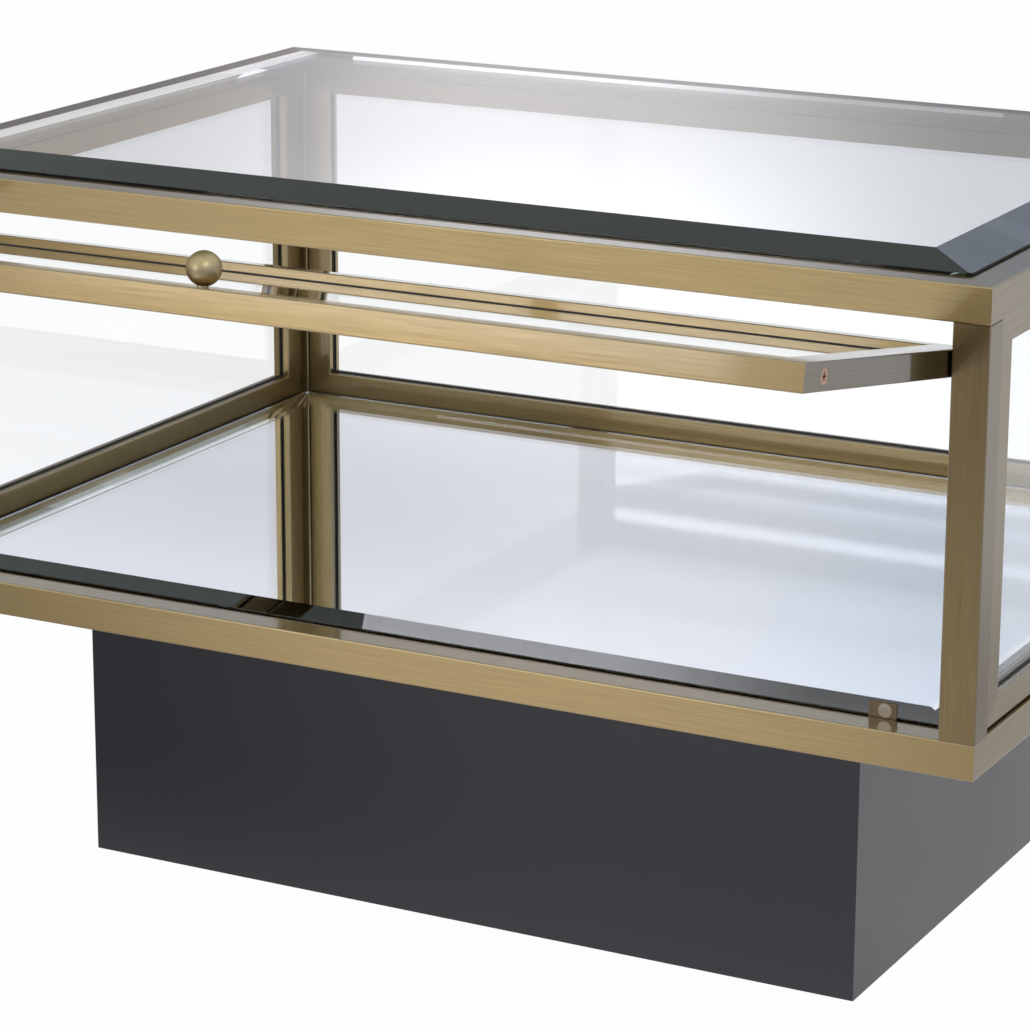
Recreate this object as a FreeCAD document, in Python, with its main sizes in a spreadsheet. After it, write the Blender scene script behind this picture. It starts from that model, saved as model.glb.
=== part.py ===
# Collectors display table: a glazed brass case on a box plinth, with a flap door that turns on friction pivots.
# Millimetres. The origin is on the floor under the middle of the table, X to the right, Y to the back, Z up.
import FreeCAD
import Part
import Sketcher
import os
from FreeCAD import Rotation, Vector

doc = FreeCAD.newDocument("CollectorsTable")
nodes = []

SIZES = (
    # case frame
    ("table_width", 762, "outside of the brass frame, left to right"),
    ("table_depth", 539, "outside of the brass frame, front to back"),
    ("case_bottom", 191.5, "floor to the underside of the bottom frame"),
    ("rail_height", 21.5, "height of every frame rail"),
    ("rail_depth", 20, "thickness of a rail, and depth of a post"),
    ("post_width", 22, "width of a post across the front"),
    ("post_height", 239.5, "clear height between the two frames"),
    ("tube_wall", 1.5, "wall of the rail and post tubes"),
    ("edge_round", 1, "rounding of the tube edges"),
    ("ledge_reach", 8, "how far a ledge stands in from its rail"),
    ("ledge_thick", 3, "thickness of a ledge"),
    ("plug_height", 12, "plug that closes each end of a post"),
    # glass top
    ("top_gap", 0.5, "glass edge to rail"),
    ("top_thick", 10, "thickness of the top glass"),
    ("top_proud", 6.8, "top glass above the frame"),
    ("top_bevel_width", 34, "width of the bevel, seen from above"),
    ("top_bevel_drop", 5.3, "fall of the bevel to the edge"),
    ("top_corner_clip", 3, "corners of the top glass cut off"),
    ("glass_pad_thick", 1, "pads between ledge and glass"),
    ("glass_pad_radius", 3.5, "pads between ledge and glass"),
    ("glass_pad_inset", 90, "pad centre to the outside of the frame's corner"),
    # floor of the case
    ("board_gap", 0.5, "base board to rail"),
    ("board_thick", 16, "board under the mirror"),
    ("mirror_gap", 1, "mirror edge to rail"),
    ("mirror_thick", 6, "thickness of the mirror"),
    ("mirror_bevel_width", 22, "width of the mirror's bevel"),
    ("mirror_bevel_drop", 2, "fall of the mirror's bevel"),
    ("mirror_corner_clip", 1.5, "corners of the mirror cut off"),
    # glazed frames
    ("bar_thick", 15.6, "thickness of the pane frame and door bars"),
    ("bar_round", 0.8, "rounding of the bars' long edges"),
    ("groove_width", 5.2, "glazing groove"),
    ("groove_depth", 8, "glazing groove"),
    ("pane_bar", 16, "width of the top and bottom bars of a pane frame"),
    ("pane_stile", 18, "width of the upright bars of a pane frame"),
    ("pane_recess", 2.8, "pane frame behind the outside of the case"),
    ("pane_top_gap", 0.3, "pane frame to top rail"),
    ("pane_bottom_gap", 1.2, "pane frame to bottom rail"),
    ("pane_side_gap", 0.3, "back pane frame to post"),
    ("jamb_width", 4.5, "strip between a side pane frame and a post"),
    ("jamb_recess", 5.5, "that strip behind the outside of the case"),
    ("jamb_thick", 10, "thickness of that strip"),
    ("glazing_thick", 4, "glass of the panes and of the door"),
    ("gasket_floor", 1.5, "gasket under the edge of the glass"),
    ("gasket_lip", 0.6, "gasket above the bars"),
    ("key_inset", 1.8, "outside of a bar to its corner keys and chamber"),
    ("key_width", 5, "width of a corner key's leg and of the chamber"),
    ("key_leg", 19, "outside of the frame to the end of a corner key's leg"),
    ("key_thick", 8, "thickness of a corner key"),
    ("chamber_thick", 12, "thickness of the chamber inside a bar"),
    # door
    ("door_recess", 2.9, "closed door behind the front of the case"),
    ("door_top_gap", 1.3, "door to top rail"),
    ("door_bottom_gap", 1, "door to bottom rail"),
    ("door_side_gap", 1, "door to posts"),
    ("door_top_bar", 18, "width of the door's top bar"),
    ("door_bottom_bar", 24, "width of the door's bottom bar"),
    ("door_stile", 19.5, "width of the door's upright bars"),
    ("door_open_angle", 99.9, "door from closed to the stored pose, in degrees"),
    ("pivot_drop", 23.7, "top edge of the door to the pivot axis"),
    ("pin_radius", 2, "pivot pin"),
    ("pin_anchor", 12, "pivot pin inside the post"),
    ("pin_clearance", 0.03, "radial play of the pin in its bush"),
    ("pin_reach", 9, "pivot pin inside the door"),
    ("bush_radius", 3, "pivot bush"),
    ("bush_length", 10, "pivot bush"),
    ("washer_radius", 5, "friction washer"),
    ("washer_play", 0.1, "friction washer to door"),
    ("pivot_block_height", 20, "block that carries the pin inside the post"),
    # screws
    ("countersink_angle", 90, "screw heads and their seats, in degrees"),
    ("recess_width", 1.1, "cross recess of a screw head"),
    ("recess_length", 4.6, "cross recess of a screw head"),
    ("recess_depth", 1.2, "cross recess of a screw head"),
    ("corner_screw_inset", 25.7, "bottom edge of the door to its corner screw"),
    ("corner_screw_head", 4.4, "head radius of the corner screw"),
    ("corner_screw_shank", 2, "radius of the corner screw"),
    ("corner_screw_length", 9, "length of the corner screw"),
    # knob
    ("knob_radius", 9.9, "ball of the knob"),
    ("knob_neck_radius", 3.2, "neck of the knob"),
    ("knob_stand", 10.2, "face of the door to the middle of the ball"),
    ("knob_inset", 12, "bottom edge of the door to the knob"),
    ("knob_shift", 2, "knob to the middle of the door, on its left"),
    ("knob_screw_shank", 2, "radius of the screw that holds the knob"),
    ("knob_screw_head", 4, "head radius of that screw"),
    ("knob_screw_bite", 8, "length of that screw inside the knob"),
    # magnetic catches
    ("catch_width", 17, "catch bracket"),
    ("catch_height", 10, "catch bracket"),
    ("catch_thick", 1.6, "upright of the catch bracket"),
    ("catch_foot_thick", 0.6, "foot of the catch bracket"),
    ("catch_foot_reach", 1.2, "foot in front of the upright"),
    ("catch_offset", 41, "middle of a catch to the inside of its post"),
    ("magnet_radius", 4.2, "catch magnet"),
    ("magnet_shift", 1.5, "magnet to the middle of its bracket"),
    ("magnet_lift", 5.3, "rail to the middle of the magnet"),
    ("magnet_proud", 0.3, "magnet in front of its bracket"),
    ("magnet_gap", 0.3, "magnet to the closed door"),
    # plinth
    ("plinth_width", 548, "outside of the plinth"),
    ("plinth_depth", 347, "outside of the plinth"),
    ("plinth_board", 18, "thickness of the plinth's boards"),
    ("corner_block", 28, "glue blocks inside the plinth's corners"),
    ("corner_block_height", 120, "glue blocks inside the plinth's corners"),
    ("plinth_screw_shank", 2.5, "radius of the screws between plinth and base board"),
    ("plinth_screw_head", 5, "head radius of those screws"),
    ("plinth_screw_bite", 11, "length of those screws inside the base board"),
    ("plinth_screw_inset", 60, "outside of the plinth to those screws"),
    ("glide_height", 1.5, "felt glides under the plinth"),
    ("glide_radius", 8, "felt glides under the plinth"),
)

sheet = doc.addObject("Spreadsheet::Sheet", "Size")
for row, (word, value, meaning) in enumerate(SIZES, start=1):
    sheet.set(f"A{row}", word)
    sheet.set(f"B{row}", str(value))
    sheet.setAlias(f"B{row}", word)
    sheet.set(f"C{row}", meaning)
doc.recompute()

# Places that several pieces share, worked out from the sheet.
HALF_WIDTH = "(Size.table_width / 2)"
HALF_DEPTH = "(Size.table_depth / 2)"
OPENING_BOTTOM = "(Size.case_bottom + Size.rail_height)"
OPENING_TOP = f"({OPENING_BOTTOM} + Size.post_height)"
OPENING_HALF = f"({HALF_WIDTH} - Size.post_width)"
FRAME_TOP = f"({OPENING_TOP} + Size.rail_height)"
TOP_UNDERSIDE = f"({FRAME_TOP} + Size.top_proud - Size.top_thick)"
BOARD_BOTTOM = "(Size.case_bottom + Size.ledge_thick)"
MIRROR_BOTTOM = f"({BOARD_BOTTOM} + Size.board_thick)"
POST_BORE_WIDTH = "(Size.post_width - 2 * Size.tube_wall)"
POST_BORE_DEPTH = "(Size.rail_depth - 2 * Size.tube_wall)"
PIVOT_SET_BACK = "(Size.door_recess + Size.bar_thick / 2)"
PIVOT_Y = f"(-{HALF_DEPTH} + {PIVOT_SET_BACK})"
PIVOT_Z = f"({OPENING_TOP} - Size.door_top_gap - Size.pivot_drop)"
DOOR_HALF = f"({OPENING_HALF} - Size.door_side_gap)"
DOOR_TOP = "Size.pivot_drop"
DOOR_BOTTOM = "(Size.pivot_drop + Size.door_top_gap + Size.door_bottom_gap - Size.post_height)"
CORNERS = (("front_left", -1, -1), ("front_right", 1, -1), ("back_left", -1, 1), ("back_right", 1, 1))
BOTH_ENDS = (("left", -1), ("right", 1))


# --- helpers -------------------------------------------------------------------------------------------------

def new_body(name):
    body = doc.addObject("PartDesign::Body", name)
    doc.recompute()
    return body


def new_sketch(body, role, name, x="0", y="0", lift="0"):
    """A sketch on one of the body's own planes, its origin moved by x and y in the plane and lifted off it."""
    sketch = body.newObject("Sketcher::SketchObject", name)
    plane = next(item for item in body.Origin.OriginFeatures if item.Role == role)
    sketch.AttachmentSupport = (plane, [""])
    sketch.MapMode = "FlatFace"
    for axis, expression in (("x", x), ("y", y), ("z", lift)):
        if expression != "0":
            sketch.setExpression(f"AttachmentOffset.Base.{axis}", expression)
    return sketch


def fix_point(sketch, geometry, point, x, y):
    """Holds a point of the sketch at the two expressions."""
    for kind, target in (("DistanceX", x), ("DistanceY", y)):
        start = float(sketch.evalExpression(target))
        index = sketch.addConstraint(Sketcher.Constraint(kind, -1, 1, geometry, point, start))
        sketch.setExpression(f"Constraints[{index}]", target)


def outline(sketch, corners):
    """A closed outline of straight lines through corners, which are pairs of expressions."""
    first = sketch.GeometryCount
    count = len(corners)
    points = [Vector(sketch.evalExpression(x), sketch.evalExpression(y), 0) for x, y in corners]
    for index in range(count):
        sketch.addGeometry(Part.LineSegment(points[index], points[(index + 1) % count]))
    for index in range(count):
        sketch.addConstraint(Sketcher.Constraint("Coincident", first + index, 2, first + (index + 1) % count, 1))
    for index, (x, y) in enumerate(corners):
        fix_point(sketch, first + index, 1, x, y)


def rectangle(sketch, left, right, low, high):
    outline(sketch, [(left, low), (right, low), (right, high), (left, high)])


def circle(sketch, x, y, radius):
    centre = Vector(sketch.evalExpression(x), sketch.evalExpression(y), 0)
    size = float(sketch.evalExpression(radius))
    index = sketch.addGeometry(Part.Circle(centre, Vector(0, 0, 1), size))
    fix_point(sketch, index, 3, x, y)
    bound = sketch.addConstraint(Sketcher.Constraint("Radius", index, size))
    sketch.setExpression(f"Constraints[{bound}]", radius)


def check_cut(feature, before):
    if not feature.Shape.Volume < before:
        raise RuntimeError(f"{feature.Name} removes nothing")


def extrude(body, kind, sketch, length, centred=False, reverse=False):
    """A Pad or a Pocket of the sketch, on one side of it or centred on it."""
    before = body.Shape.Volume if kind == "Pocket" else 0
    feature = body.newObject(f"PartDesign::{kind}", f"{sketch.Name}_{kind}")
    feature.Profile = sketch
    feature.setExpression("Length", length)
    feature.SideType = "Symmetric" if centred else "One side"
    feature.Reversed = reverse
    doc.recompute()
    if kind == "Pocket":
        check_cut(feature, before)


def countersunk_holes(body, sketch, shank, head, reverse):
    """Through holes at the circles of the sketch, each with a seat for a countersunk head of radius head."""
    before = body.Shape.Volume
    feature = body.newObject("PartDesign::Hole", f"{sketch.Name}_Hole")
    doc.recompute()
    feature.Profile = sketch
    feature.Threaded = False
    feature.DepthType = "ThroughAll"
    feature.HoleCutType = "Countersink"
    feature.HoleCutCustomValues = True
    feature.setExpression("Diameter", f"2 * {shank}")
    feature.setExpression("HoleCutDiameter", f"2 * {head}")
    feature.setExpression("HoleCutCountersinkAngle", "Size.countersink_angle")
    feature.Reversed = reverse
    doc.recompute()
    check_cut(feature, before)


def round_edges(body, radius, wanted):
    """Rounds the edges of the body for which wanted(start point, end point) holds."""
    base = body.Tip
    names = []
    for index, edge in enumerate(base.Shape.Edges, start=1):
        if len(edge.Vertexes) == 2 and wanted(edge.Vertexes[0].Point, edge.Vertexes[1].Point):
            names.append(f"Edge{index}")
    feature = body.newObject("PartDesign::Fillet", f"{body.Name}_Rounding")
    feature.Base = (base, names)
    feature.setExpression("Radius", radius)
    doc.recompute()


def same(a, b):
    return abs(a - b) < 0.001


def put(item, x="0", y="0", z="0", turn=None):
    """Puts the item at three expressions, turned by the fixed rotation turn."""
    if turn:
        item.Placement.Rotation = turn
    for axis, expression in zip("xyz", (x, y, z)):
        item.setExpression(f"Placement.Base.{axis}", expression)


def add_node(item, label):
    item.Label = label
    nodes.append(item)


def add_group(label, items):
    """One node of several like pieces, each its own solid."""
    group = doc.addObject("Part::Compound", label)
    group.Links = items
    add_node(group, label)
    return group


def block(name, size, low):
    """A Part box from its three sizes and its lowest corner, all expressions."""
    item = doc.addObject("Part::Box", name)
    for side, expression in zip(("Length", "Width", "Height"), size):
        item.setExpression(side, expression)
    put(item, *low)
    return item


def rod(name, radius, height, low, axis=Vector(0, 0, 1)):
    """A Part cylinder that starts at low and runs along axis."""
    item = doc.addObject("Part::Cylinder", name)
    item.setExpression("Radius", radius)
    item.setExpression("Height", height)
    put(item, *low, turn=Rotation(Vector(0, 0, 1), axis))
    return item


def boolean(kind, name, base, tool):
    item = doc.addObject(f"Part::{kind}", name)
    item.Base = base
    item.Tool = tool
    return item


# --- brass frame: eight mitred tubes with ledges, four posts -------------------------------------------------------

def mitred_plan(sketch, length, near, far):
    """Plan of a piece that runs along X between two 45 degree mitres, from near to far behind its outer face."""
    outline(sketch, [
        (f"-{length} / 2 + {near}", near),
        (f"{length} / 2 - {near}", near),
        (f"{length} / 2 - {far}", far),
        (f"-{length} / 2 + {far}", far),
    ])


def frame_rail(label, length, x, y, z, turn, ledge_level):
    """A mitred tube along one side of a frame, with a ledge inside it whose underside is at ledge_level."""
    body = new_body(label)
    plan = new_sketch(body, "XY_Plane", f"{label}_plan")
    mitred_plan(plan, length, "0", "Size.rail_depth")
    extrude(body, "Pad", plan, "Size.rail_height")
    bore = new_sketch(body, "XY_Plane", f"{label}_bore", lift="Size.rail_height / 2")
    inner_wall = "(Size.rail_depth - Size.tube_wall)"
    rectangle(bore, f"-{length} / 2", f"{length} / 2", "Size.tube_wall", inner_wall)
    extrude(body, "Pocket", bore, "Size.rail_height - 2 * Size.tube_wall", centred=True)

    def long_outer_edge(start, end):
        along = same(start.y, end.y) and same(start.z, end.z)
        return along and (same(start.y, 0) or same(start.y, sheet.rail_depth))

    round_edges(body, "Size.edge_round", long_outer_edge)
    ledge = new_sketch(body, "XY_Plane", f"{label}_ledge", lift=ledge_level)
    mitred_plan(ledge, length, inner_wall, "(Size.rail_depth + Size.ledge_reach)")
    extrude(body, "Pad", ledge, "Size.ledge_thick")
    put(body, x, y, z, turn)
    add_node(body, label)


TOP_LEDGE = f"{TOP_UNDERSIDE} - Size.glass_pad_thick - Size.ledge_thick - {OPENING_TOP}"
for side, length, x, y, degrees in (
    ("front", "Size.table_width", "0", f"-{HALF_DEPTH}", 0),
    ("back", "Size.table_width", "0", HALF_DEPTH, 180),
    ("left", "Size.table_depth", f"-{HALF_WIDTH}", "0", -90),
    ("right", "Size.table_depth", HALF_WIDTH, "0", 90),
):
    turn = Rotation(Vector(0, 0, 1), degrees)
    frame_rail(f"top_rail_{side}", length, x, y, OPENING_TOP, turn, TOP_LEDGE)
    frame_rail(f"bottom_rail_{side}", length, x, y, "Size.case_bottom", turn, "0")


def corner_post(label, x_sign, y_sign):
    """A square tube between the frames. A front post has a hole towards the door for the pivot pin."""
    body = new_body(label)
    plan = new_sketch(body, "XY_Plane", f"{label}_plan")
    for width, depth in (("Size.post_width", "Size.rail_depth"), (POST_BORE_WIDTH, POST_BORE_DEPTH)):
        rectangle(plan, f"-{width} / 2", f"{width} / 2", f"-{depth} / 2", f"{depth} / 2")
    extrude(body, "Pad", plan, "Size.post_height")

    def outer_upright_edge(start, end):
        upright = same(start.x, end.x) and same(start.y, end.y)
        return upright and same(abs(start.x), sheet.post_width / 2)

    round_edges(body, "Size.edge_round", outer_upright_edge)
    if y_sign < 0:
        hole = new_sketch(
            body, "YZ_Plane", f"{label}_pivot_hole",
            x=f"{PIVOT_SET_BACK} - Size.rail_depth / 2", y=f"{PIVOT_Z} - {OPENING_BOTTOM}",
        )
        circle(hole, "0", "0", "Size.pin_radius")
        extrude(body, "Pocket", hole, "Size.post_width / 2", reverse=x_sign < 0)
    put(
        body,
        f"{x_sign} * ({HALF_WIDTH} - Size.post_width / 2)",
        f"{y_sign} * ({HALF_DEPTH} - Size.rail_depth / 2)",
        OPENING_BOTTOM,
    )
    add_node(body, label)


def post_filling(name, x_sign, y_sign, height, z):
    """A block that fills the bore of a post over the given height."""
    return block(name, (POST_BORE_WIDTH, POST_BORE_DEPTH, height), (
        f"{x_sign} * ({HALF_WIDTH} - Size.post_width / 2) - {POST_BORE_WIDTH} / 2",
        f"{y_sign} * ({HALF_DEPTH} - Size.rail_depth / 2) - {POST_BORE_DEPTH} / 2",
        z,
    ))


end_plugs = []
for corner, x_sign, y_sign in CORNERS:
    corner_post(f"post_{corner}", x_sign, y_sign)
    for end, level in (("low", OPENING_BOTTOM), ("high", f"{OPENING_TOP} - Size.plug_height")):
        end_plugs.append(post_filling(f"plug_{corner}_{end}", x_sign, y_sign, "Size.plug_height", level))
add_group("post_end_plugs", end_plugs)


# --- top glass, its pads, and the mirror ---------------------------------------------------------------------------

def bevelled_plate(label, gap, thick, bevel_width, bevel_drop, clip, z):
    """A plate inside the frame whose top falls away in a bevel to an upright ground edge, with clipped corners."""
    half_width = f"({HALF_WIDTH} - Size.rail_depth - {gap})"
    half_depth = f"({HALF_DEPTH} - Size.rail_depth - {gap})"
    edge_height = f"({thick} - {bevel_drop})"
    body = new_body(label)
    plan = new_sketch(body, "XY_Plane", f"{label}_plan")
    rectangle(plan, f"-{half_width}", half_width, f"-{half_depth}", half_depth)
    extrude(body, "Pad", plan, edge_height)
    foot = new_sketch(body, "XY_Plane", f"{label}_bevel_foot", lift=edge_height)
    rectangle(foot, f"-{half_width}", half_width, f"-{half_depth}", half_depth)
    head = new_sketch(body, "XY_Plane", f"{label}_bevel_head", lift=thick)
    inner_width = f"({half_width} - {bevel_width})"
    inner_depth = f"({half_depth} - {bevel_width})"
    rectangle(head, f"-{inner_width}", inner_width, f"-{inner_depth}", inner_depth)
    loft = body.newObject("PartDesign::AdditiveLoft", f"{label}_bevel")
    loft.Profile = foot
    loft.Sections = [head]
    loft.Ruled = True
    doc.recompute()
    clips = new_sketch(body, "XY_Plane", f"{label}_clips")
    for _, x_sign, y_sign in CORNERS:
        outline(clips, [
            (f"{x_sign} * {half_width}", f"{y_sign} * {half_depth}"),
            (f"{x_sign} * ({half_width} - {clip})", f"{y_sign} * {half_depth}"),
            (f"{x_sign} * {half_width}", f"{y_sign} * ({half_depth} - {clip})"),
        ])
    extrude(body, "Pocket", clips, thick, reverse=True)
    put(body, z=z)
    add_node(body, label)


bevelled_plate(
    "top_glass", "Size.top_gap", "Size.top_thick",
    "Size.top_bevel_width", "Size.top_bevel_drop", "Size.top_corner_clip", TOP_UNDERSIDE,
)
bevelled_plate(
    "mirror_panel", "Size.mirror_gap", "Size.mirror_thick",
    "Size.mirror_bevel_width", "Size.mirror_bevel_drop", "Size.mirror_corner_clip", MIRROR_BOTTOM,
)

# Two pads near each corner, one on each ledge.
SIDE_LEDGE = f"({HALF_WIDTH} - Size.rail_depth - Size.ledge_reach / 2)"
FRONT_LEDGE = f"({HALF_DEPTH} - Size.rail_depth - Size.ledge_reach / 2)"
pads = []
for corner, x_sign, y_sign in CORNERS:
    for side, x, y in (
        ("long", f"({HALF_WIDTH} - Size.glass_pad_inset)", FRONT_LEDGE),
        ("short", SIDE_LEDGE, f"({HALF_DEPTH} - Size.glass_pad_inset)"),
    ):
        low = (f"{x_sign} * {x}", f"{y_sign} * {y}", f"{TOP_UNDERSIDE} - Size.glass_pad_thick")
        pads.append(rod(f"pad_{corner}_{side}", "Size.glass_pad_radius", "Size.glass_pad_thick", low))
add_group("top_glass_pads", pads)


# --- screws ----------------------------------------------------------------------------------------------------------

def countersunk_screw(name, role, axis, head, shank, length, x="0", y="0", lift="0"):
    """A screw turned about an axis of its sketch, from the face of its flat head to its tip at length, which is
    negative for a screw that points back along the axis."""
    body = new_body(name)
    half = new_sketch(body, role, f"{name}_half", x, y, lift)
    sign = -1 if length.startswith("-") else 1
    head_depth = f"{sign} * ({head} - {shank}) / tan(Size.countersink_angle / 2)"
    profile = [("0", "0"), ("0", head), (head_depth, shank), (length, shank), (length, "0")]
    if axis == "V_Axis":
        profile = [(across, along) for along, across in profile]
    outline(half, profile)
    turned = body.newObject("PartDesign::Revolution", f"{name}_turned")
    turned.Profile = half
    turned.ReferenceAxis = (half, [axis])
    turned.Angle = 360
    doc.recompute()
    return body


def cross_recess(body, role, x="0", y="0", lift="0", reverse=False):
    """The cross in a screw's head, cut from a plane on the head's face."""
    cross = new_sketch(body, role, f"{body.Name}_cross", x, y, lift)
    arm = "(Size.recess_width / 2)"
    tip = "(Size.recess_length / 2)"
    outline(cross, [
        (arm, arm), (arm, tip), (f"-{arm}", tip), (f"-{arm}", arm),
        (f"-{tip}", arm), (f"-{tip}", f"-{arm}"), (f"-{arm}", f"-{arm}"), (f"-{arm}", f"-{tip}"),
        (arm, f"-{tip}"), (arm, f"-{arm}"), (tip, f"-{arm}"), (tip, arm),
    ])
    extrude(body, "Pocket", cross, "Size.recess_depth", reverse=reverse)


# --- base board and plinth -------------------------------------------------------------------------------------------

PLINTH_SCREWS = [
    (f"{x_sign} * (Size.plinth_width / 2 - Size.plinth_screw_inset)",
     f"{y_sign} * (Size.plinth_depth / 2 - Size.plinth_screw_inset)")
    for x_sign in (-1, 0, 1) for y_sign in (-1, 1)
]
PLINTH_TOP_BOTTOM = f"({BOARD_BOTTOM} - Size.plinth_board)"


def flat_board(label, half_width, half_depth, thick, z):
    """A board, and the sketch of its screw holes on its underside."""
    body = new_body(label)
    plan = new_sketch(body, "XY_Plane", f"{label}_plan")
    rectangle(plan, f"-{half_width}", half_width, f"-{half_depth}", half_depth)
    extrude(body, "Pad", plan, thick)
    holes = new_sketch(body, "XY_Plane", f"{label}_holes")
    for x, y in PLINTH_SCREWS:
        circle(holes, x, y, "Size.plinth_screw_shank")
    put(body, z=z)
    add_node(body, label)
    return body, holes


base_board, board_holes = flat_board(
    "base_board",
    f"({HALF_WIDTH} - Size.rail_depth - Size.board_gap)", f"({HALF_DEPTH} - Size.rail_depth - Size.board_gap)",
    "Size.board_thick", BOARD_BOTTOM,
)
extrude(base_board, "Pocket", board_holes, "Size.plinth_screw_bite", reverse=True)
plinth_top, top_holes = flat_board(
    "plinth_top",
    "(Size.plinth_width / 2 - Size.plinth_board)", "(Size.plinth_depth / 2 - Size.plinth_board)",
    "Size.plinth_board", PLINTH_TOP_BOTTOM,
)
countersunk_holes(plinth_top, top_holes, "Size.plinth_screw_shank", "Size.plinth_screw_head", reverse=True)

plinth_screws = []
for number, (x, y) in enumerate(PLINTH_SCREWS, start=1):
    screw = countersunk_screw(
        f"plinth_screw_{number}", "XZ_Plane", "V_Axis", "Size.plinth_screw_head", "Size.plinth_screw_shank",
        "(Size.plinth_board + Size.plinth_screw_bite)",
    )
    cross_recess(screw, "XY_Plane", reverse=True)
    put(screw, x, y, PLINTH_TOP_BOTTOM)
    plinth_screws.append(screw)
add_group("plinth_screws", plinth_screws)

for side, length, x, y, degrees in (
    ("front", "Size.plinth_width", "0", "-Size.plinth_depth / 2", 0),
    ("back", "Size.plinth_width", "0", "Size.plinth_depth / 2", 180),
    ("left", "Size.plinth_depth", "-Size.plinth_width / 2", "0", -90),
    ("right", "Size.plinth_depth", "Size.plinth_width / 2", "0", 90),
):
    panel = new_body(f"plinth_{side}")
    plan = new_sketch(panel, "XY_Plane", f"plinth_{side}_plan")
    mitred_plan(plan, length, "0", "Size.plinth_board")
    extrude(panel, "Pad", plan, f"{BOARD_BOTTOM} - Size.glide_height")
    put(panel, x, y, "Size.glide_height", Rotation(Vector(0, 0, 1), degrees))
    add_node(panel, f"plinth_{side}")

corner_blocks = []
glides = []
for corner, x_sign, y_sign in CORNERS:
    x = f"{x_sign} * (Size.plinth_width / 2 - Size.plinth_board - Size.corner_block / 2)"
    y = f"{y_sign} * (Size.plinth_depth / 2 - Size.plinth_board - Size.corner_block / 2)"
    corner_blocks.append(block(
        f"block_{corner}",
        ("Size.corner_block", "Size.corner_block", "Size.corner_block_height"),
        (f"{x} - Size.corner_block / 2", f"{y} - Size.corner_block / 2", "Size.glide_height"),
    ))
    glides.append(rod(f"glide_{corner}", "Size.glide_radius", "Size.glide_height", (x, y, "0")))
add_group("plinth_blocks", corner_blocks)
add_group("glides", glides)


# --- glazed frames: mitred bars with a running groove, corner keys, gasket and glass ----------------------------------

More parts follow.
